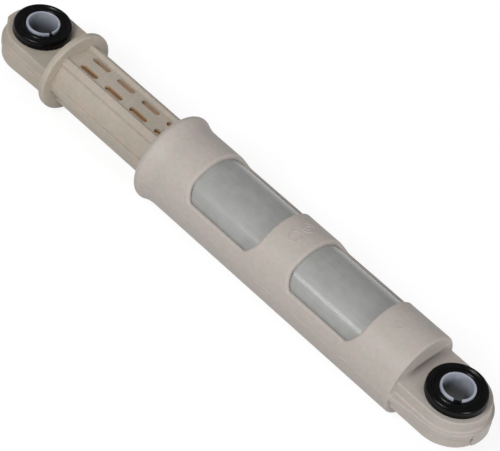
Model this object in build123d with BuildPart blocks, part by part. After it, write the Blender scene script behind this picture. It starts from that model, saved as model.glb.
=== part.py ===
from build123d import *
from math import cos, hypot, isclose, radians, sin, sqrt, tan
import os

os.makedirs("parts", exist_ok=True)

# Friction damper for a washing machine, lying level with both eyes' bores upright.
# The origin is the centre of the housing eye's bore. +X runs along the tube's axis from the
# housing eye to the plunger eye, and +Z is up, along the bores. Sizes are in millimetres.

# Travel from the drawn length
closing_travel = 59.8      # until the collar meets the mouth
opening_travel = 8.0       # until the piston head meets the guide bush
stop_gap = 0.2             # left between the faces that stop each other

# Eyes: plastic sleeve, rubber bush and the lug round them
pin_bore_r = 6.5
sleeve_wall = 1.0
sleeve_length = 23.0
sleeve_edge = 0.25
bush_wall = 4.0            # rubber between the sleeve and the lug's hole
bush_lip = 1.7             # how far the rubber flange covers the lug's face
bush_inset = 0.2           # from the sleeve's rim down to the rubber flange's top
bush_roll_r = 1.6          # rounding of the flange's outer edge
bush_groove_r = 0.9        # section radius of the ring groove in the flange
bush_groove_depth = 0.7
bush_groove_inset = 3.5    # from the flange's outer edge to the groove's middle
bush_edge = 0.3
seat_gap = 0.02            # between the rubber and what holds it
lug_thickness = 14.0
eye_wall = 3.9             # plastic round the lug's hole, at its faces
lug_draft = 2.0            # degrees, on the lug's side walls
lug_edge = 0.6
lug_foot = 1.1             # rounding where the lug leaves the end wall or the collar
rim_thickness = 3.0        # flange round the lug's middle, at the mould's parting plane
rim_reach = 1.85           # how far the flange stands out beyond the eye
rim_edge = 0.5
rim_foot = 0.9             # rounding between the flange and the lug's side wall
notch_depth = 5.0          # of the notch in the sleeve's upper rim
key_gap = 0.1              # between the rubber key and the sleeve's notch
key_drop = 0.6             # the key stays this much below the sleeve's rim
key_root = 0.5             # how far the key reaches into the rubber behind it
housing_notch_width = 3.5
housing_notch_angle = 130.0
plunger_notch_width = 1.8
plunger_notch_angle = 166.0
nose_pad_half_angle = 17.0
nose_pad_rise = 0.3        # how far the pad on a lug's nose stands out beyond its flange
housing_pad_reach = 5.6    # from the parting plane down to the end of the housing's pad
plunger_pad_reach = 4.6    # from the parting plane up to the end of the plunger's pad
under_reach = 1.2          # how far a lug stands out further under its flange

# Steel tube and the housing round it
tube_wall = 1.0
tube_fit = 0.05            # radial, between the tube or the guide bush and the housing
barrel_wall = 2.2
end_to_eye = 18.0          # from the housing's end face to its eye
end_wall = 4.0
end_edge = 1.2
end_clearance = 18.1       # left behind the piston head when the damper is closed
end_band = 24.0            # barrel left between the end face and the first window
window_web = 19.0          # barrel left between the windows
mouth_band = 26.7          # barrel left between the last window and the mouth
window_inset = 1.15        # the upper windows' long edges stay this much inside the bore's outline
lower_window_inset = 5.0   # and the lower windows' edges this much
window_corner_r = 4.6
window_edge = 1.2
flare_reach = 1.7          # how far the mouth's lip stands out beyond the barrel
flare_slope = 25.0         # degrees
lip_r = 2.6
root_inset = 0.45          # the lug's flange ends this much inside the barrel's outline

# Guide bush in the mouth
guide_length = 19.5
guide_recess = 0.5         # from the mouth's face down to the guide bush
guide_flange_thickness = 2.0
guide_flange_reach = 0.9
guide_clearance = 0.08     # radial, to the rod's rails
guide_wall = 2.47          # its outside is the steel tube's outside
guide_chamfer = 0.6
bead_height = 0.5
bead_width = 2.4
bead_inset = 6.0           # from the bush's inner end to the middle of its snap bead

# Plunger
rail_r = 14.85
web_drop = 1.25            # from the rails' tops down to the round web
floor_drop = 3.25          # from the rails' tops down to the level floors between them
floor_half_width = 6.0
rail_inner_y = 7.1         # the rails' inner edges, at their full height
rail_outer_y = 9.9
side_rail_width = 4.1
rail_edge = 0.35
rod_wall = 2.2
head_length = 40.0
head_land = 5.0            # width of each land beside the lining's groove
head_clearance = 0.2       # radial, to the steel tube
head_edge = 0.8
lining_thickness = 3.0
collar_reach = 4.55        # how far the collar stands out beyond the rails
collar_thickness = 3.2
collar_edge = 1.0
collar_to_eye = 20.5       # from the collar's outer face to the plunger's eye
slot_length = 10.4
slot_width = 2.8
slot_pitch = 15.75
slot_row_y = 3.7
slot_margin = 5.7          # from the collar to the first slot

# Friction lining
lining_fit = 0.05          # radial, to the tube and to the groove
lining_end_gap = 0.2
lining_joint = 0.8         # gap where the strip's ends meet

# Worked out from the sizes above
sleeve_r = pin_bore_r + sleeve_wall
bush_bore_r = sleeve_r + seat_gap
bush_r = bush_bore_r + bush_wall
lug_hole_r = bush_r + seat_gap
lug_face_z = lug_thickness / 2
eye_r = lug_hole_r + eye_wall
lug_base_r = eye_r + lug_face_z * tan(radians(lug_draft))
rim_r = eye_r + rim_reach
under_r = eye_r + under_reach
bush_flange_r = bush_r + bush_lip
bush_groove_x = bush_flange_r - bush_groove_inset
bush_top_z = sleeve_length / 2 - bush_inset

guide_bore_r = rail_r + guide_clearance
tube_outer_r = guide_bore_r + guide_wall
barrel_bore_r = tube_outer_r + tube_fit
barrel_r = barrel_bore_r + barrel_wall
tube_bore_r = tube_outer_r - tube_wall
tube_start_x = end_to_eye + end_wall
stroke_space = end_clearance + closing_travel + head_length + opening_travel + 2 * stop_gap
guide_inner_x = tube_start_x + stroke_space
mouth_x = guide_inner_x + guide_length + guide_recess
window_length = (mouth_x - end_to_eye - end_band - window_web - mouth_band) / 2
window_half_width = barrel_bore_r - window_inset
lower_window_half_width = barrel_bore_r - lower_window_inset

guide_flange_r = barrel_bore_r + guide_flange_reach
guide_front_x = mouth_x - guide_recess
guide_seat_x = guide_front_x - guide_flange_thickness
bead_x = guide_inner_x + bead_inset

shoulder_x = guide_inner_x - opening_travel - stop_gap
head_end_x = shoulder_x - head_length
head_r = tube_bore_r - head_clearance
lining_outer_r = tube_bore_r - lining_fit
lining_inner_r = lining_outer_r - lining_thickness
groove_r = lining_inner_r - lining_fit
groove_length = head_length - 2 * head_land
collar_inner_x = mouth_x + closing_travel + stop_gap
collar_outer_x = collar_inner_x + collar_thickness
plunger_eye_x = collar_outer_x + collar_to_eye
web_r = rail_r - web_drop
flat_z = rail_r - floor_drop
collar_r = rail_r + collar_reach
cavity_r = web_r - rod_wall
cavity_z = flat_z - rod_wall
cavity_end_x = collar_inner_x - rod_wall
slot_count = int((collar_inner_x - slot_margin - shoulder_x) // slot_pitch)

print("eye to eye", round(plunger_eye_x, 2), "mouth", round(mouth_x, 2), "window", round(window_length, 2))
print("closed", round(plunger_eye_x - closing_travel, 2), "open", round(plunger_eye_x + opening_travel, 2))


def make_lug(eye_x, root_x, root_half_width):
    # A lug for one eye: a drafted block with a round end, and a flange round its middle that is
    # the hull of a circle about the eye and a line across the root
    block_end_x = root_x + (rim_foot if root_x > eye_x else -rim_foot)
    with BuildPart() as lug:
        with BuildSketch(Plane.XY):
            with BuildLine():
                CenterArc((eye_x, 0), rim_r, 0, 360)
                Line((root_x, -root_half_width), (root_x, root_half_width))
            make_hull()
        extrude(amount=rim_thickness / 2, both=True)
        rim_outlines = lug.edges().filter_by(Axis.Z, reverse=True).filter_by(Axis.Y, reverse=True)
        fillet(rim_outlines, rim_edge)
        with BuildSketch(Plane.XY):
            with Locations((eye_x, 0)):
                Circle(lug_base_r)
            with Locations(((eye_x + block_end_x) / 2, 0)):
                Rectangle(abs(block_end_x - eye_x), 2 * lug_base_r)
        extrude(amount=lug_face_z, both=True, taper=lug_draft)
        rim_seams = lug.edges(Select.LAST).filter_by(
            lambda edge: isclose(abs(edge.center().Z), rim_thickness / 2, abs_tol=0.01)
        )
        fillet(rim_seams.filter_by(Axis.Y, reverse=True), rim_foot)
        fillet(lug.faces().sort_by(Axis.Z)[-1].edges() + lug.faces().sort_by(Axis.Z)[0].edges(), lug_edge)
    return lug.part


def make_nose_pad(eye_x, nose_angle, bottom_z, top_z):
    # A low pad on a lug's nose, beside its flange, as wide as an angle about the eye
    with BuildPart() as pad:
        with BuildSketch(Plane.XY.offset(bottom_z)):
            with BuildLine():
                pad_start = nose_angle - nose_pad_half_angle
                pad_arc = CenterArc((eye_x, 0), rim_r + nose_pad_rise, pad_start, 2 * nose_pad_half_angle)
                Polyline(pad_arc @ 1, (eye_x, 0), pad_arc @ 0)
            make_face()
        extrude(amount=top_z - bottom_z)
    return pad.part


def make_under_lug(eye_x, root_x, root_half_width):
    # The lug's wider half under its flange: the hull of a circle about the eye and a line
    # across the root
    with BuildPart() as under:
        with BuildSketch(Plane.XY.offset(-lug_face_z)):
            with BuildLine():
                CenterArc((eye_x, 0), under_r, 0, 360)
                Line((root_x, -root_half_width), (root_x, root_half_width))
            make_hull()
        extrude(amount=lug_face_z)
        fillet(under.faces().sort_by(Axis.Z)[0].edges(), lug_edge)
    return under.part


def foot_edges(body, wall_x):
    # The straight edges that a lug's two faces, just added to the body, make with its wall
    return body.edges(Select.LAST).filter_by(Axis.Y).filter_by_position(Axis.X, wall_x, wall_x)


# Housing: barrel with a closed end, flared mouth, windows and lug, moulded as one piece
lip_angle = radians(flare_slope)
flare_turn = 1 - cos(lip_angle)
flare_bend_r = (flare_reach - lip_r * flare_turn) / flare_turn
flare_x = mouth_x - lip_r - (flare_bend_r + lip_r) * sin(lip_angle)
housing_root_x = end_to_eye + end_wall / 2
housing_lug = make_lug(0, housing_root_x, barrel_r - root_inset)

with BuildPart() as housing:
    with BuildSketch(Plane.XZ):
        with BuildLine():
            Polyline((end_to_eye, 0), (end_to_eye, barrel_r), (flare_x, barrel_r))
            bend = JernArc((flare_x, barrel_r), (1, 0), flare_bend_r, flare_slope)
            lip = JernArc(bend @ 1, bend % 1, lip_r, -flare_slope - 90)
            Polyline(
                lip @ 1,
                (mouth_x, guide_flange_r + tube_fit),
                (guide_seat_x, guide_flange_r + tube_fit),
                (guide_seat_x, barrel_bore_r),
                (tube_start_x, barrel_bore_r),
                (tube_start_x, 0),
                (end_to_eye, 0),
            )
        make_face()
    revolve(axis=Axis.X)
    fillet(housing.edges().group_by(Axis.X)[0], end_edge)

    # Groove that the guide bush snaps into
    with BuildSketch(Plane.YZ.offset(bead_x)):
        Circle(barrel_bore_r + bead_height)
    extrude(amount=bead_width / 2 + tube_fit, both=True, mode=Mode.SUBTRACT)

    # Windows, cut straight up through the barrel's upper wall and, narrower, down through its lower
    for half_width, cut_height in (
        (window_half_width, 2 * barrel_r),
        (lower_window_half_width, -2 * barrel_r),
    ):
        with BuildSketch(Plane.XY):
            for step in range(2):
                window_x = end_to_eye + end_band + window_length / 2 + step * (window_length + window_web)
                with Locations((window_x, 0)):
                    RectangleRounded(window_length, 2 * half_width, window_corner_r)
        extrude(amount=cut_height, mode=Mode.SUBTRACT)
        window_rims = housing.edges(Select.LAST).filter_by(
            lambda edge: isclose(hypot((edge @ 0.5).Y, (edge @ 0.5).Z), barrel_r, abs_tol=0.01)
        )
        fillet(window_rims, window_edge)

    add(housing_lug)
    fillet(foot_edges(housing, end_to_eye), lug_foot)
    add(make_nose_pad(0, 180, -housing_pad_reach, rim_thickness / 2))
    add(make_under_lug(0, housing_root_x, under_r))
    with BuildSketch(Plane.XY):
        Circle(lug_hole_r)
    extrude(amount=lug_thickness, both=True, mode=Mode.SUBTRACT)

housing.part.label = "housing"
export_step(housing.part, "parts/housing.step")

# Steel tube that lines the housing
with BuildPart() as steel_tube:
    with BuildSketch(Plane.YZ.offset(tube_start_x)):
        Circle(tube_outer_r)
        Circle(tube_bore_r, mode=Mode.SUBTRACT)
    extrude(amount=guide_inner_x - tube_start_x)

steel_tube.part.label = "steel_tube"
export_step(steel_tube.part, "parts/steel_tube.step")

# Guide bush: plastic ring with a flange at the mouth and a bead that snaps into the housing
with BuildPart() as guide_bush:
    with BuildSketch(Plane.XZ):
        with BuildLine():
            Polyline(
                (guide_inner_x, guide_bore_r + guide_chamfer),
                (guide_inner_x, tube_outer_r),
                (bead_x - bead_width / 2, tube_outer_r),
                (bead_x - bead_width / 4, tube_outer_r + bead_height),
                (bead_x + bead_width / 4, tube_outer_r + bead_height),
                (bead_x + bead_width / 2, tube_outer_r),
                (guide_seat_x, tube_outer_r),
                (guide_seat_x, guide_flange_r),
                (guide_front_x, guide_flange_r),
                (guide_front_x, guide_bore_r + guide_chamfer),
                (guide_front_x - guide_chamfer, guide_bore_r),
                (guide_inner_x + guide_chamfer, guide_bore_r),
                close=True,
            )
        make_face()
    revolve(axis=Axis.X)

guide_bush.part.label = "guide_bush"
export_step(guide_bush.part, "parts/guide_bush.step")

# Plunger: piston head, hollow rod with rails and slots, stop collar and lug, in one moulding
plunger_root_x = collar_outer_x - collar_thickness / 2
plunger_lug = make_lug(plunger_eye_x, plunger_root_x, rim_r)
rail_slope = (rail_inner_y - floor_half_width) / (sqrt(rail_r**2 - rail_inner_y**2) - flat_z)
rail_top_y = floor_half_width + (rail_r - flat_z) * rail_slope

with BuildPart() as plunger:
    with BuildSketch(Plane.YZ.offset(shoulder_x)) as rod_section:
        Circle(web_r)
        Rectangle(2 * rail_r, 2 * flat_z, mode=Mode.INTERSECT)
        with BuildSketch(mode=Mode.PRIVATE) as rails:
            Rectangle(2 * rail_r, side_rail_width)
            with BuildLine():
                Polyline(
                    (floor_half_width, 0),
                    (floor_half_width, flat_z),
                    (rail_top_y, rail_r),
                    (rail_outer_y, rail_r),
                    (rail_outer_y, 0),
                    close=True,
                )
            upper_rail = make_face()
            mirror(upper_rail, about=Plane.YZ)
            mirror(about=Plane.XZ)
            Circle(rail_r, mode=Mode.INTERSECT)
        add(rails.sketch)
        fillet(rod_section.vertices(), rail_edge)
    extrude(amount=collar_inner_x - shoulder_x)

    with BuildSketch(Plane.YZ.offset(head_end_x)):
        Circle(head_r)
    extrude(amount=head_length)
    fillet(plunger.edges().group_by(Axis.X)[0], head_edge)
    with BuildSketch(Plane.YZ.offset(head_end_x + head_land)):
        Circle(head_r)
        Circle(groove_r, mode=Mode.SUBTRACT)
    extrude(amount=groove_length, mode=Mode.SUBTRACT)

    with BuildSketch(Plane.YZ.offset(collar_inner_x)):
        Circle(collar_r)
    extrude(amount=collar_thickness)
    collar_rims = plunger.edges().filter_by(GeomType.CIRCLE).group_by(SortBy.RADIUS)[-1]
    fillet(collar_rims, collar_edge)

    with BuildSketch(Plane.YZ.offset(head_end_x)):
        Circle(cavity_r)
        Rectangle(2 * cavity_r, 2 * cavity_z, mode=Mode.INTERSECT)
    extrude(amount=cavity_end_x - head_end_x, mode=Mode.SUBTRACT)

    with BuildSketch(Plane.XY):
        for step in range(slot_count):
            slot_x = collar_inner_x - slot_margin - slot_length / 2 - step * slot_pitch
            with Locations((slot_x, -slot_row_y), (slot_x, slot_row_y)):
                SlotOverall(slot_length, slot_width)
    extrude(amount=rail_r, both=True, mode=Mode.SUBTRACT)

    add(plunger_lug)
    fillet(foot_edges(plunger, collar_outer_x), lug_foot)
    add(make_nose_pad(plunger_eye_x, 0, -rim_thickness / 2, plunger_pad_reach))
    add(make_under_lug(plunger_eye_x, plunger_root_x, lug_base_r))
    with BuildSketch(Plane.XY):
        with Locations((plunger_eye_x, 0)):
            Circle(lug_hole_r)
    extrude(amount=lug_thickness, both=True, mode=Mode.SUBTRACT)

plunger.part.label = "plunger"
export_step(plunger.part, "parts/plunger.step")

# Friction lining: a strip bent round the piston head's groove
with BuildPart() as friction_lining:
    with BuildSketch(Plane.YZ.offset(head_end_x + head_land + lining_end_gap)):
        Circle(lining_outer_r)
        Circle(lining_inner_r, mode=Mode.SUBTRACT)
        with Locations((0, lining_outer_r)):
            Rectangle(lining_joint, 4 * lining_thickness, mode=Mode.SUBTRACT)
    extrude(amount=groove_length - 2 * lining_end_gap)

friction_lining.part.label = "friction_lining"
export_step(friction_lining.part, "parts/friction_lining.step")

# Each eye's plastic sleeve, with a notch in its upper rim, and the rubber bush round it, whose
# key stands in the notch
for end, eye_x, notch_width, notch_angle in (
    ("housing", 0, housing_notch_width, housing_notch_angle),
    ("plunger", plunger_eye_x, plunger_notch_width, plunger_notch_angle),
):
    eye = Plane(origin=(eye_x, 0, 0))
    section = Plane(origin=(eye_x, 0, 0), x_dir=(1, 0, 0), z_dir=(0, -1, 0))
    rim_z = sleeve_length / 2
    key_inner_r = pin_bore_r + key_gap
    notch = Plane(origin=(eye_x, 0, rim_z - notch_depth)).rotated((0, 0, notch_angle))
    key = notch.offset(key_gap)

    with BuildPart() as sleeve:
        with BuildSketch(eye.offset(-rim_z)):
            Circle(sleeve_r)
            Circle(pin_bore_r, mode=Mode.SUBTRACT)
        extrude(amount=sleeve_length)
        fillet(sleeve.edges().filter_by(GeomType.CIRCLE), sleeve_edge)
        with BuildSketch(notch):
            with Locations((sleeve_r, 0)):
                Rectangle(3 * sleeve_wall, notch_width)
        extrude(amount=2 * notch_depth, mode=Mode.SUBTRACT)

    sleeve.part.label = end + "_sleeve"
    export_step(sleeve.part, "parts/" + end + "_sleeve.step")

    with BuildPart() as bush:
        with BuildSketch(section):
            with BuildLine():
                Polyline(
                    (bush_bore_r, 0),
                    (bush_bore_r, bush_top_z),
                    (bush_flange_r, bush_top_z),
                    (bush_flange_r, lug_face_z),
                    (bush_r, lug_face_z),
                    (bush_r, 0),
                    close=True,
                )
            make_face()
            with Locations((bush_groove_x, bush_top_z + bush_groove_r - bush_groove_depth)):
                Circle(bush_groove_r, mode=Mode.SUBTRACT)
            mirror(about=Plane.XZ)
        revolve(axis=Axis((eye_x, 0, 0), (0, 0, 1)))
        top_edges = bush.edges().filter_by(
            lambda edge: isclose(abs(edge.center().Z), bush_top_z, abs_tol=0.01)
        )
        inner_edge, groove_inner_edge, groove_outer_edge, rolled_edge = top_edges.group_by(SortBy.RADIUS)
        fillet(rolled_edge, bush_roll_r)
        fillet(inner_edge + groove_inner_edge + groove_outer_edge, bush_edge)
        with BuildSketch(key):
            with Locations((key_inner_r, 0)):
                key_size = (bush_bore_r + key_root - key_inner_r, notch_width - 2 * key_gap)
                Rectangle(*key_size, align=(Align.MIN, Align.CENTER))
        extrude(amount=notch_depth - key_gap - key_drop)

    bush.part.label = end + "_bush"
    export_step(bush.part, "parts/" + end + "_bush.step")
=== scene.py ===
import math

import bmesh
import bpy
import numpy as np
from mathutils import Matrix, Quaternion, Vector


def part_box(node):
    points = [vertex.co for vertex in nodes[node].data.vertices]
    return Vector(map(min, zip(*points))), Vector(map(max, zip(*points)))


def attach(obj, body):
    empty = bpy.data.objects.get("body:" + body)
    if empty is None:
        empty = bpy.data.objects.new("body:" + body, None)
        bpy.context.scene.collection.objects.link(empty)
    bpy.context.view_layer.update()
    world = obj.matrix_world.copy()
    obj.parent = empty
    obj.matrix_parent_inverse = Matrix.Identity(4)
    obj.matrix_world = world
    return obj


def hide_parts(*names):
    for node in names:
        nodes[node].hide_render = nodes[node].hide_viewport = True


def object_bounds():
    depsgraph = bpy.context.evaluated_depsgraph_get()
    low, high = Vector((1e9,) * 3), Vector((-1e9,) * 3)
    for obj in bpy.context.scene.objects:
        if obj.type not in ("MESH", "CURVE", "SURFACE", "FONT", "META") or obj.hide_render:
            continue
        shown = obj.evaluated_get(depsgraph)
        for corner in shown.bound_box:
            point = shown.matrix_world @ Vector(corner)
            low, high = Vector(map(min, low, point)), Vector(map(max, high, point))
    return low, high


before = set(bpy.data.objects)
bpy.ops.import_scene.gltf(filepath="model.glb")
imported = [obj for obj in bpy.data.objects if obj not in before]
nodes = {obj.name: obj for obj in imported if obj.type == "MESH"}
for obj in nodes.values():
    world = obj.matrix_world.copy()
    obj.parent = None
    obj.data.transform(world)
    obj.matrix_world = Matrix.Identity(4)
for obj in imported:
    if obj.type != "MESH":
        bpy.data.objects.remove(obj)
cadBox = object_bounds()
mm = 0.001  # the scene is in metres, the sizes below in millimetres
print("stage 1: frame loaded,", len(nodes), "nodes")


# Shader maths: a Value is a socket that takes part in ordinary arithmetic

class Value:
    def __init__(self, graph, socket):
        self.graph = graph
        self.socket = socket

    def out(self, name):
        return Value(self.graph, self.socket.node.outputs[name])

    def math(self, operation, *others):
        inputs = dict(enumerate((self,) + others))
        return self.graph.node("ShaderNodeMath", {"operation": operation}, inputs)

    def __add__(self, other):
        return self.math("ADD", other)

    def __sub__(self, other):
        return self.math("SUBTRACT", other)

    def __rsub__(self, other):
        return (self * -1) + other

    def __mul__(self, other):
        return self.math("MULTIPLY", other)

    def __pow__(self, other):
        return self.math("POWER", other)

    def __abs__(self):
        return self.math("ABSOLUTE")

    __radd__ = __add__
    __rmul__ = __mul__

    def atLeast(self, other):
        return self.math("MAXIMUM", other)

    def rise(self, low, high):
        # 0 at low, 1 at high and smooth between them. It falls where low is the larger
        inputs = {"Value": self, "From Min": low, "From Max": high}
        return self.graph.node("ShaderNodeMapRange", {"interpolation_type": "SMOOTHSTEP"}, inputs)


class Graph:
    # One material, whose place is the Object coordinate in millimetres
    def __init__(self, name, look):
        self.material = bpy.data.materials.new(name)
        self.material.use_nodes = True
        self.tree = self.material.node_tree
        self.tree.nodes.clear()
        self.output = self.tree.nodes.new("ShaderNodeOutputMaterial")
        self.shader = self.node("ShaderNodeBsdfPrincipled", {}, look)
        self.tree.links.new(self.shader.socket, self.output.inputs["Surface"])
        coordinate = self.node("ShaderNodeTexCoord").out("Object")
        self.place = self.vector("SCALE", coordinate, Scale=1 / mm)
        parts = self.node("ShaderNodeSeparateXYZ", {}, {0: self.place})
        self.x, self.y, self.z = parts.out("X"), parts.out("Y"), parts.out("Z")

    def node(self, kind, settings={}, inputs={}):
        made = self.tree.nodes.new(kind)
        for key, setting in settings.items():
            setattr(made, key, setting)
        for key, value in inputs.items():
            if isinstance(value, Value):
                self.tree.links.new(value.socket, made.inputs[key])
            else:
                made.inputs[key].default_value = value
        return Value(self, next(socket for socket in made.outputs if socket.enabled))

    def vector(self, operation, *values, **named):
        inputs = {**dict(enumerate(values)), **named}
        return self.node("ShaderNodeVectorMath", {"operation": operation}, inputs)

    def mix(self, factor, first, second):
        made = self.node("ShaderNodeMix", {"data_type": "RGBA"}, {0: factor, 6: first, 7: second})
        return Value(self, made.socket.node.outputs[2])

    def brighten(self, colour, factor):
        factors = self.node("ShaderNodeCombineXYZ", {}, {0: factor, 1: factor, 2: factor})
        return self.vector("MULTIPLY", colour, factors)

    def noise(self, size, detail=2.0, stretch=(1, 1, 1), seed=0.0):
        # size is how wide one patch is in millimetres, stretch makes it longer along an axis
        scale = tuple(1 / (size * longer) for longer in stretch)
        moved = self.vector("MULTIPLY_ADD", self.place, scale, (seed, seed, seed))
        return self.node("ShaderNodeTexNoise", {}, {"Vector": moved, "Scale": 1.0, "Detail": detail})

    def bump(self, height, depth, below=None):
        # height runs from 0 to 1, and depth is what that is in millimetres
        inputs = {"Height": height, "Distance": depth * mm, "Strength": 1.0}
        if below:
            inputs["Normal"] = below
        return self.node("ShaderNodeBump", {}, inputs)

    def feed(self, **links):
        for name, value in links.items():
            self.tree.links.new(value.socket, self.shader.socket.node.inputs[name.replace("_", " ")])


def screenColour(red, green, blue):
    # The linear colour that shows as these screen values, 11 to 255
    return tuple(((part / 255 + 0.055) / 1.055) ** 2.4 for part in (red, green, blue)) + (1,)


def grey(share):
    return (share, share, share, 1)


def waveRings(place, pitch):
    # A sine of the place from 0 to 1, one wave per pitch
    return (place * (2 * math.pi / pitch)).math("SINE") * 0.5 + 0.5


def between(share, limits):
    # The value that lies this share of the way from the low limit to the high one
    low, high = limits
    return share * (high - low) + low


# Moulded beige plastic: patches of warmer and cooler tint, clouds of tone, waves and fine grain

housingPlasticLook = {
    "warm": screenColour(191, 180, 174),
    "cool": screenColour(186, 180, 172),
    "patch": 6.0,         # mm across one patch of tint
    "patchEdge": (0.38, 0.62),
    "cloud": 1.8,         # mm across one cloud of tone
    "tone": 0.10,         # how much lighter or darker a cloud is
    "wave": 8.0,          # mm across one wave, where the wall sank a little in the mould
    "waveDepth": 0.06,
    "grain": 0.6,         # mm across one grain
    "grainDepth": 0.02,
    "roughness": (0.42, 0.56),
    "roughPatch": 1.7,    # mm across one patch of roughness
    "detail": 3.0,        # octaves of the patterns
    "gloss": {"IOR": 1.46, "Specular IOR Level": 0.4},
}

plungerPlasticLook = dict(
    housingPlasticLook,
    warm=screenColour(188, 175, 162),
    cool=screenColour(181, 173, 160),
    # Emission Strength 1 lets the painted glow of the hollow show
    gloss={**housingPlasticLook["gloss"], "Emission Strength": 1.0},
)

# Painted shade and painted light in the plunger's slots and hollow: tan walls that turn brown deeper
# under the floor, and a painted glow
hollowShadeLook = {
    "tan": screenColour(196, 168, 132),
    "brown": screenColour(124, 82, 34),
    "floorZ": 11.6,       # the rod's level floors, which the slots go through
    "slotReach": 6.0,     # from the middle plane to the slots' far edges
    "hollowRadius": 11.45,
    "rodEnd": 226.0,      # the hollow ends before the collar
    "edge": 0.1,          # mm over which the painted shade begins
    "sides": (-0.5, 0.5),         # y where one side's look gives way to the other's
    "wallDepths": (0.1, 0.5),     # mm under the floor where the slots' walls take the painted shade
    "shadeDepths": (0.2, 2.4),     # where tan turns brown, painted shade deeper under the floor
    "paintedGlowDepths": (1.6, 2.6),     # where the painted glow begins
    "fade": 0.45,         # how much of the painted shade shows on the -y side
    "glow": screenColour(62, 44, 24),       # painted light that stands for light coming through the thin walls
    "paintedPaleGlow": screenColour(116, 98, 80),  # and on the -y side
}


def plasticBody(name, look):
    graph = Graph(name, look["gloss"])
    tint = graph.noise(look["patch"], look["detail"]).rise(*look["patchEdge"])
    colour = graph.mix(tint, look["cool"], look["warm"])
    cloud = graph.noise(look["cloud"], look["detail"], seed=7.3) - 0.5
    colour = graph.brighten(colour, cloud * (2 * look["tone"]) + 1)
    roughness = between(graph.noise(look["roughPatch"], look["detail"], seed=2.1), look["roughness"])
    waves = graph.bump(graph.noise(look["wave"], 1.0, seed=4.4), look["waveDepth"])
    normal = graph.bump(graph.noise(look["grain"]), look["grainDepth"], waves)
    return graph, colour, roughness, normal


def housingPlastic(look):
    graph, colour, roughness, normal = plasticBody("housingPlastic", look)
    graph.feed(Base_Color=colour, Roughness=roughness, Normal=normal)
    return graph.material


def plungerPlastic(look, hollowShade):
    # Painted shade: the slots' walls are painted tan and the hollow brown, darker deeper under the
    # floor, with less of it on the -y side. The hollow also glows with painted light through its thin
    # walls
    graph, colour, roughness, normal = plasticBody("plungerPlastic", look)
    radius = (graph.y * graph.y + graph.z * graph.z) ** 0.5
    depth = hollowShade["floorZ"] - abs(graph.z)
    edge = hollowShade["edge"]
    hollow = radius.rise(hollowShade["hollowRadius"] + edge, hollowShade["hollowRadius"])
    slots = abs(graph.y).rise(hollowShade["slotReach"] + edge, hollowShade["slotReach"])
    slots = depth.rise(*hollowShade["wallDepths"]) * slots
    rod = graph.x.rise(hollowShade["rodEnd"] + 2 * edge, hollowShade["rodEnd"])
    inside = hollow.atLeast(slots) * rod
    side = graph.y.rise(*hollowShade["sides"])
    shown = between(side, (hollowShade["fade"], 1))
    # painted shade: tan turns brown deeper under the floor
    depthShade = graph.mix(depth.rise(*hollowShade["shadeDepths"]), hollowShade["tan"], hollowShade["brown"])
    # painted light: the hollow glows deeper under the floor, paler on the -y side
    glow = graph.mix(side, hollowShade["paintedPaleGlow"], hollowShade["glow"])
    glow = graph.brighten(glow, hollow * rod * depth.rise(*hollowShade["paintedGlowDepths"]))
    shadedColour = graph.mix(inside * shown, colour, depthShade)
    graph.feed(Base_Color=shadedColour, Roughness=roughness, Normal=normal, Emission_Color=glow)
    return graph.material


# Zinc-coated tube: matt grey skin with a thin gloss, rolling marks round it and streaks along it

tubeSteelLook = {
    "light": screenColour(167, 168, 166),
    "dark": screenColour(157, 158, 156),
    "toneEdge": (0.35, 0.65),
    "roughness": (0.54, 0.64),
    "roughEdge": (0.3, 0.7),
    "patch": 5.0,         # mm across one patch of the coating
    "patchDetail": 4.0,
    "streak": 0.5,        # mm across one streak
    "streakLength": 60,   # times as long as it is wide
    "streakShare": 0.4,   # how much of the tone comes from the streaks
    "ring": 0.8,          # mm from one rolling mark to the next
    "ringDepth": 0.015,
    "unevenPatch": 2.0,   # mm over which the marks wander
    "uneven": 2.0,        # how far they wander, in radians of their wave
    "gloss": {"Metallic": 0.12, "Coat Weight": 0.6, "Coat Roughness": 0.19},
}


def tubeSteel(look):
    graph = Graph("tubeSteel", look["gloss"])
    streaks = graph.noise(look["streak"], 3.0, stretch=(look["streakLength"], 1, 1))
    patches = graph.noise(look["patch"], look["patchDetail"], seed=3.7)
    tone = streaks * look["streakShare"] + patches * (1 - look["streakShare"])
    colour = graph.mix(tone.rise(*look["toneEdge"]), look["dark"], look["light"])
    roughness = between(patches.rise(*look["roughEdge"]), look["roughness"])
    wander = look["uneven"] * look["ring"] / (2 * math.pi)
    wander = graph.noise(look["unevenPatch"], seed=9.1) * wander
    rings = waveRings(graph.x + wander, look["ring"])
    graph.feed(Base_Color=colour, Roughness=roughness, Normal=graph.bump(rings, look["ringDepth"]))
    return graph.material


# Black rubber: a little dust, glossier where it is clean

bushRubberLook = {
    "clean": (0.0012, 0.0012, 0.0014, 1),  # linear, darker than screenColour reaches
    "dusty": (0.0040, 0.0040, 0.0044, 1),
    "dustPatch": 2.2,     # mm
    "dustDetail": 4.0,
    "dustEdge": (0.5, 0.75),
    "roughness": (0.20, 0.32),
    "roughEdge": (0.35, 0.7),
    "grain": 0.3,         # mm
    "grainDepth": 0.008,
    "gloss": {"Specular IOR Level": 0.15},
}


def bushRubber(look):
    graph = Graph("bushRubber", look["gloss"])
    dust = graph.noise(look["dustPatch"], look["dustDetail"], seed=1.9)
    colour = graph.mix(dust.rise(*look["dustEdge"]), look["clean"], look["dusty"])
    roughness = between(dust.rise(*look["roughEdge"]), look["roughness"])
    grain = graph.bump(graph.noise(look["grain"]), look["grainDepth"])
    graph.feed(Base_Color=colour, Roughness=roughness, Normal=grain)
    return graph.material


# Natural plastic of the sleeves: bluish white, smooth, with faint draw marks along the bore, and
# painted shade that darkens the bore towards its middle

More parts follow.
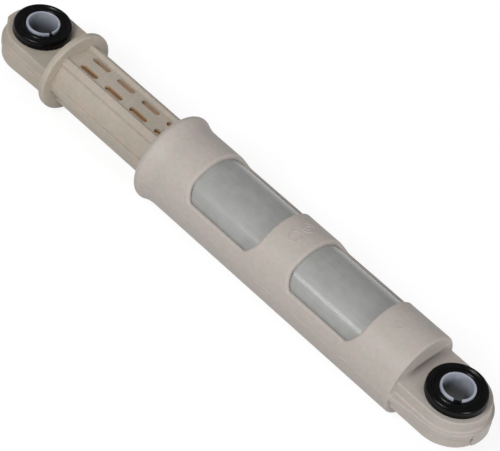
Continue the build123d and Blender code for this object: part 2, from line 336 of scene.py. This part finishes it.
sleevePlasticLook = {
    "pale": screenColour(176, 180, 190),
    "blue": screenColour(162, 168, 183),
    "patch": 4.0,         # mm across one patch of tint
    "patchEdge": (0.35, 0.65),
    "roughness": (0.28, 0.40),
    "roughPatch": 1.3,    # mm
    "draw": 0.4,          # mm across one draw mark
    "drawLength": 40,     # times as long as it is wide
    "drawDepth": 0.006,
    "shade": 0.06,        # share of the tone that is left in the painted shade of the bore's middle
    "shadeZ": (0.0, 11.0),  # from the middle to either rim
    "gloss": {"IOR": 1.48},
}


def sleevePlastic(look):
    graph = Graph("sleevePlastic", look["gloss"])
    tint = graph.noise(look["patch"]).rise(*look["patchEdge"])
    # painted shade: the colour darkens from either rim towards the middle of the bore
    light = between(abs(graph.z).rise(*look["shadeZ"]), (look["shade"], 1))
    colour = graph.brighten(graph.mix(tint, look["blue"], look["pale"]), light)
    roughness = between(graph.noise(look["roughPatch"], 3.0, seed=5.0), look["roughness"])
    drawn = graph.noise(look["draw"], stretch=(1, 1, look["drawLength"]))
    graph.feed(Base_Color=colour, Roughness=roughness, Normal=graph.bump(drawn, look["drawDepth"]))
    return graph.material


# Natural plastic of the guide bush, with fine turning rings

guidePlasticLook = {
    "pale": screenColour(206, 204, 196),
    "grey": screenColour(190, 188, 180),
    "patch": 5.0,         # mm across one patch of tint
    "patchEdge": (0.35, 0.65),
    "ring": 0.5,          # mm from one ring to the next
    "ringDepth": 0.004,
    "gloss": {"Roughness": 0.4},
}


def guidePlastic(look):
    graph = Graph("guidePlastic", look["gloss"])
    radius = (graph.y * graph.y + graph.z * graph.z) ** 0.5
    tint = graph.noise(look["patch"], 3.0).rise(*look["patchEdge"])
    rings = graph.bump(waveRings(radius, look["ring"]), look["ringDepth"])
    graph.feed(Base_Color=graph.mix(tint, look["grey"], look["pale"]), Normal=rings)
    return graph.material


# Lining foam, wet with amber grease in places

liningFoamLook = {
    "foam": screenColour(112, 84, 44),
    "wet": screenColour(70, 46, 18),
    "wetPatch": 5.0,      # mm across one wet patch
    "wetEdge": (0.4, 0.6),
    "roughness": (0.75, 0.35),  # dry, wet
    "cell": 0.6,          # mm across one foam cell
    "cellDepth": 0.12,
    "gloss": {"IOR": 1.45},
}


def liningFoam(look):
    graph = Graph("liningFoam", look["gloss"])
    scaled = graph.vector("SCALE", graph.place, Scale=1 / look["cell"])
    cells = graph.node("ShaderNodeTexVoronoi", {}, {"Vector": scaled, "Scale": 1.0})
    wet = graph.noise(look["wetPatch"], 3.0).rise(*look["wetEdge"])
    colour = graph.mix(wet, look["foam"], look["wet"])
    roughness = between(wet, look["roughness"])
    graph.feed(Base_Color=colour, Roughness=roughness, Normal=graph.bump(cells, look["cellDepth"]))
    return graph.material


beige = housingPlastic(housingPlasticLook)
rubber = bushRubber(bushRubberLook)
finishes = {
    "housing": beige,
    "steel_tube": tubeSteel(tubeSteelLook),
    "guide_bush": guidePlastic(guidePlasticLook),
    "friction_lining": liningFoam(liningFoamLook),
    "plunger": plungerPlastic(plungerPlasticLook, hollowShadeLook),
    "housing_sleeve": sleevePlastic(sleevePlasticLook),
}
finishes["plunger_sleeve"] = finishes["housing_sleeve"]
for node, material in finishes.items():
    nodes[node].data.materials.clear()
    nodes[node].data.materials.append(material)
print("stage 2: finishes on the frame's nodes")


# New pieces: shells of quads from grids of points

def gridShell(grid, closedRows):
    # Rows of points, each row a closed loop: neighbours are joined by quads. The last row joins
    # the first, or else each end row is filled with one flat face
    rows, columns = grid.shape[:2]
    joined = rows if closedRows else rows - 1
    row, column = np.meshgrid(np.arange(joined), np.arange(columns), indexing="ij")
    start, following = row * columns, (row + 1) % rows * columns
    nextColumn = (column + 1) % columns
    corners = [start + column, following + column, following + nextColumn, start + nextColumn]
    faces = np.stack(corners, axis=-1).reshape(-1, 4).tolist()
    if not closedRows:
        faces += [list(range(columns)), list(range((rows - 1) * columns, rows * columns))]
    return grid.reshape(-1, 3), faces


def nodeBox(node):
    # The corners of a node's box, in millimetres
    return tuple(np.array(corner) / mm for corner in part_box(node))


def makePiece(name, shells, body, material):
    # Shells are pairs of points and faces in millimetres, each closed on its own
    mesh = bpy.data.meshes.new(name)
    points, faces, start = [], [], 0
    for shellPoints, shellFaces in shells:
        points.append(shellPoints)
        faces += [[start + corner for corner in face] for face in shellFaces]
        start += len(shellPoints)
    mesh.from_pydata((np.concatenate(points) * mm).tolist(), [], faces)
    shell = bmesh.new()
    shell.from_mesh(mesh)
    bmesh.ops.recalc_face_normals(shell, faces=shell.faces)
    shell.to_mesh(mesh)
    shell.free()
    mesh.shade_smooth()
    mesh.materials.append(material)
    piece = bpy.data.objects.new(name, mesh)
    bpy.context.scene.collection.objects.link(piece)
    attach(piece, body)
    return piece


# Rubber bushes: a revolved profile with two beads in each flange's face, and the key that stands
# in the sleeve's notch

bushLook = {
    "boreRadius": 7.52,
    "bodyRadius": 11.52,
    "crestRadius": 11.7,  # of the outer bead, which runs on into the rolled edge
    "crestWidth": 1.2,    # mm from the crest to the valley inside it
    "crestHeight": 0.8,
    "beadRadius": 9.25,   # of the inner bead
    "beadWidth": 0.85,
    "beadHeight": 0.5,
    "rollHeight": 2.0,    # how far down the rolled edge reaches
    "seat": 7.03,         # half the lug's thickness, and a little air
    "softEdge": 0.3,
    "segments": 144,      # faces round the bush
    "faceSteps": 70,      # points across the flange's face
    "edgeSteps": 9,       # and round each rounded edge
}

keyLook = {
    "inner": 6.6,         # mm from the bore's axis
    "outer": 8.0,
    "bottom": 6.6,
    "top": 10.9,
    "round": 0.2,
    "ends": {"housing": (3.3, 130.0), "plunger": (1.6, 166.0)},  # width, degrees round the eye
}


def bushProfile(look, rim, top):
    # Radius and height from the bore, over the face and the rolled edge to the lug's face. Each
    # bead's height is the squared cosine of the distance from its crest, and the rolled edge is a
    # quarter of an ellipse
    edge, bore, roll = look["softEdge"], look["boreRadius"], look["rollHeight"]
    crest, width = look["crestRadius"], look["crestWidth"]
    valley = top - look["crestHeight"]
    quarter = np.linspace(0, math.pi / 2, look["edgeSteps"])
    rising, closing = np.sin(quarter), 1 - np.cos(quarter)
    radius = np.linspace(bore + edge, crest, look["faceSteps"])

    def bead(middle, halfWidth, height):
        reach = np.clip(np.abs(radius - middle) / halfWidth, 0, 1)
        return height * np.cos(reach * math.pi / 2) ** 2

    face = valley + bead(crest, width, look["crestHeight"])
    face = face + bead(look["beadRadius"], look["beadWidth"], look["beadHeight"])
    inner = np.stack([bore + edge * closing, valley - edge * (1 - rising)], 1)
    outer = np.stack([crest + (rim - crest) * rising, top - roll * closing], 1)
    under = np.stack([rim - edge * closing, look["seat"] + edge * (1 - rising)], 1)
    body = [[look["bodyRadius"], look["seat"]]]
    upper = np.concatenate([inner[:-1], np.stack([radius, face], 1), outer[1:], under, body])
    return np.concatenate([upper, upper[::-1] * (1, -1)])


def turned(profile, eyeX, segments):
    # The profile carried round the eye's upright axis
    angle = np.linspace(0, 2 * math.pi, segments, endpoint=False)[:, None]
    radius, height = profile[:, 0][None, :], profile[:, 1][None, :]
    return np.stack([eyeX + radius * np.cos(angle), radius * np.sin(angle), height + 0 * angle], -1)


def keyShell(look, eyeX, width, angle):
    # A rectangle with rounded corners carried upwards, and drawn in towards its top: the last two
    # of its four levels lie inside the others by 0.3 and by the whole of the corner's radius
    corner = look["round"]
    halves = np.array([(look["outer"] - look["inner"]) / 2 - corner, width / 2 - corner])
    turn = np.radians([0, 45, 90, 90, 135, 180, 180, 225, 270, 270, 315, 360])
    signs = np.repeat([(1, 1), (-1, 1), (-1, -1), (1, -1)], 3, axis=0)
    levels = np.array([look["bottom"], look["top"] - corner, look["top"] - corner * 0.3, look["top"]])
    inset = np.array([0, 0, 0.3, 1])[:, None, None] * corner
    outline = signs * halves + np.stack([np.cos(turn), np.sin(turn)], 1) * (corner - inset * 0.9)
    middle = (look["outer"] + look["inner"]) / 2
    across, along = outline[..., 0] + middle, outline[..., 1]
    cosine, sine = math.cos(math.radians(angle)), math.sin(math.radians(angle))
    x, y = eyeX + across * cosine - along * sine, across * sine + along * cosine
    return np.stack([x, y, np.broadcast_to(levels[:, None], across.shape)], -1)


def makeBush(end):
    low, high = nodeBox(end + "_bush")
    eyeX = (low[0] + high[0]) / 2
    profile = bushProfile(bushLook, (high[0] - low[0]) / 2, high[2])
    body = gridShell(turned(profile, eyeX, bushLook["segments"]), True)
    width, angle = keyLook["ends"][end]
    key = gridShell(keyShell(keyLook, eyeX, width, angle), False)
    piece = makePiece(end + "BeadedBush", [body, key], end, rubber)
    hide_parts(end + "_bush")


for end in ("housing", "plunger"):
    makeBush(end)
print("stage 3: rubber bushes")


# Marks left by the mould: a fine ridge along each side, and small round marks on top

ridgeLook = {
    "halfWidth": 0.30,
    "height": 0.20,
    "start": 19.6,        # x, just past the rounding of the end face
    "barrelRadius": 19.65,
    "lipRadius": 2.6,
    "slope": 25.0,        # degrees, of the flare
    "thinning": 0.02,     # share of its length over which an end thins out
    "tip": 0.05,          # share of its thickness that is left at the end
    "steps": (80, 16, 24),  # points along the barrel, the flare and the lip
    "around": 10,         # points round its section
}

markLook = {
    "halfWidth": 0.26,
    "height": 0.18,
    "steps": 40,          # points round each ring
    "around": 10,         # and round its section
    # Each ring's x, degrees round the barrel, and radius
    "rings": ((92.0, 103.0, 2.9), (92.0, 103.0, 1.2), (92.0, 80.0, 2.6), (32.7, 82.0, 1.6)),
}


def ellipseAlong(path, normals, look, closed):
    # An ellipse carried along the path, wide across it and low along the surface's normal. An
    # open path thins out towards its ends
    ahead = np.roll(path, -1, 0) - np.roll(path, 1, 0) if closed else np.gradient(path, axis=0)
    ahead = ahead / np.linalg.norm(ahead, axis=1, keepdims=True)
    side = np.cross(ahead, normals)
    thin = np.ones((len(path), 1))
    if not closed:
        share = np.linspace(0, 1, len(path))[:, None]
        thin = np.clip(np.minimum(share, 1 - share) / look["thinning"], look["tip"], 1)
    turn = np.linspace(0, 2 * math.pi, look["around"], endpoint=False)
    across = look["halfWidth"] * thin * np.cos(turn)
    up = look["height"] * thin * np.sin(turn)
    return path[:, None] + side[:, None] * across[..., None] + normals[:, None] * up[..., None]


def partingPath(look, side):
    # Along the barrel, up the flare's arc and up the lip's arc, with the outline's own normals,
    # to where the ridge would stand out past the lip's crest
    low, high = nodeBox("housing")
    slope, lip = math.radians(look["slope"]), look["lipRadius"]
    reach = (high[2] - low[2]) / 2 - look["barrelRadius"]
    bend = (reach - lip * (1 - math.cos(slope))) / (1 - math.cos(slope))
    lipX, lipR = high[0] - lip, (high[2] - low[2]) / 2 - lip
    flareX = lipX - (bend + lip) * math.sin(slope)
    straightSteps, flareSteps, lipSteps = look["steps"]
    straight = np.linspace(look["start"], flareX, straightSteps)[:-1]
    up = np.linspace(0, slope, flareSteps)[:-1]
    over = np.linspace(slope, 0, lipSteps)
    x = np.concatenate([straight, flareX + bend * np.sin(up), lipX - lip * np.sin(over)])
    radius = np.concatenate([
        np.full(len(straight), look["barrelRadius"]),
        look["barrelRadius"] + bend * (1 - np.cos(up)),
        lipR + lip * np.cos(over),
    ])
    tilt = np.concatenate([np.zeros(len(straight)), up, over])
    inside = radius + look["height"] < high[1]
    x, radius, tilt = x[inside], radius[inside], tilt[inside]
    path = np.stack([x, side * radius, 0 * x], 1)
    return path, np.stack([-np.sin(tilt), side * np.cos(tilt), 0 * x], 1)


def ringPath(x, angle, radius, barrelRadius, steps):
    # A circle laid on the barrel
    turn = np.linspace(0, 2 * math.pi, steps, endpoint=False)
    angles = math.radians(angle) + radius * np.sin(turn) / barrelRadius
    normals = np.stack([0 * turn, np.cos(angles), np.sin(angles)], 1)
    path = normals * barrelRadius
    path[:, 0] = x + radius * np.cos(turn)
    return path, normals


def makeMouldMarks(ridge, mark):
    shells = []
    for side in (1, -1):
        shells.append(gridShell(ellipseAlong(*partingPath(ridge, side), ridge, False), False))
    for ring in mark["rings"]:
        path, normals = ringPath(*ring, ridge["barrelRadius"], mark["steps"])
        shells.append(gridShell(ellipseAlong(path, normals, mark, True), True))
    makePiece("mouldMarks", shells, "housing", beige)


makeMouldMarks(ridgeLook, markLook)
print("stage 4: mould marks")


# Stage: a pale floor that keeps the object's shadow, soft light, and the camera

floorLook = {
    "side": 6.0,          # metres
    "bounce": 0.45,       # how much light the floor gives back to the object
    "shadowShare": 0.25,  # how much of the floor's white comes from the lamps
    "glow": 0.84,         # and how much it gives by itself
}


def makeFloor(look):
    low, half = cadBox[0][2], look["side"] / 2
    corners = [(-half, -half, low), (half, -half, low), (half, half, low), (-half, half, low)]
    mesh = bpy.data.meshes.new("floor")
    mesh.from_pydata(corners, [], [(0, 1, 2, 3)])
    floor = bpy.data.objects.new("floor", mesh)
    bpy.context.scene.collection.objects.link(floor)
    matt = {"Base Color": grey(look["bounce"]), "Roughness": 1.0, "Specular IOR Level": 0.0}
    paper = Graph("floorPaper", matt)
    rays = paper.node("ShaderNodeLightPath")
    seen = rays.out("Is Camera Ray").atLeast(rays.out("Is Glossy Ray"))
    seen = seen.atLeast(rays.out("Is Transmission Ray"))
    lit = paper.node("ShaderNodeBsdfDiffuse", {}, {"Color": grey(look["shadowShare"])})
    glow = paper.node("ShaderNodeEmission", {}, {"Strength": look["glow"]})
    white = paper.node("ShaderNodeAddShader", {}, {0: lit, 1: glow})
    both = paper.node("ShaderNodeMixShader", {}, {0: seen, 1: paper.shader, 2: white})
    paper.tree.links.new(both.socket, paper.output.inputs["Surface"])
    mesh.materials.append(paper.material)


lightLook = {
    "ambient": 0.36,      # of the studio all round
    # Each lamp's place, what it aims at, its side in metres and its power in watts
    "lamps": {
        "key": ((0.12, 0.69, 0.71), (0.11, 0.0, 0.0), 0.30, 4.1),
        "fill": ((-1.9, 0.35, 0.55), (0.11, 0.0, 0.0), 0.60, 14.0),
        "glint": ((0.40, 0.76, 0.52), (0.06, 0.0, 0.0), 0.15, 0.75),  # the streak along the tube
    },
}


def addAimed(name, data, place, aim, roll=0.0):
    # A lamp or camera at its place, turned to look at its aim and then rolled by some degrees
    made = bpy.data.objects.new(name, data)
    made.location = place
    level = (Vector(aim) - made.location).to_track_quat("-Z", "Y")
    made.rotation_euler = (level @ Quaternion((0, 0, 1), math.radians(roll))).to_euler()
    bpy.context.scene.collection.objects.link(made)
    return made


def makeLight(look):
    world = bpy.data.worlds.new("studio")
    bpy.context.scene.world = world
    world.use_nodes = True
    background = world.node_tree.nodes["Background"]
    background.inputs["Color"].default_value = grey(1)
    background.inputs["Strength"].default_value = look["ambient"]
    for name, (place, aim, side, power) in look["lamps"].items():
        light = bpy.data.lights.new(name, "AREA")
        light.size = side
        light.energy = power
        addAimed(name, light, place, aim)


cameraLook = {
    "place": (-0.2987, 0.5825, 0.7459),
    "aim": (0.1179, -0.0003, 0.0),
    "roll": 14.1,         # degrees
    "lens": 177.7,        # mm
    "film": 36.0,         # mm across
}


def makeCamera(look):
    camera = bpy.data.cameras.new("camera")
    camera.lens = look["lens"]
    camera.sensor_width = look["film"]
    bpy.context.scene.camera = addAimed("camera", camera, look["place"], look["aim"], look["roll"])


makeFloor(floorLook)
makeLight(lightLook)
makeCamera(cameraLook)
bpy.context.scene.view_settings.view_transform = "Standard"
print("stage 5: floor, light and camera")
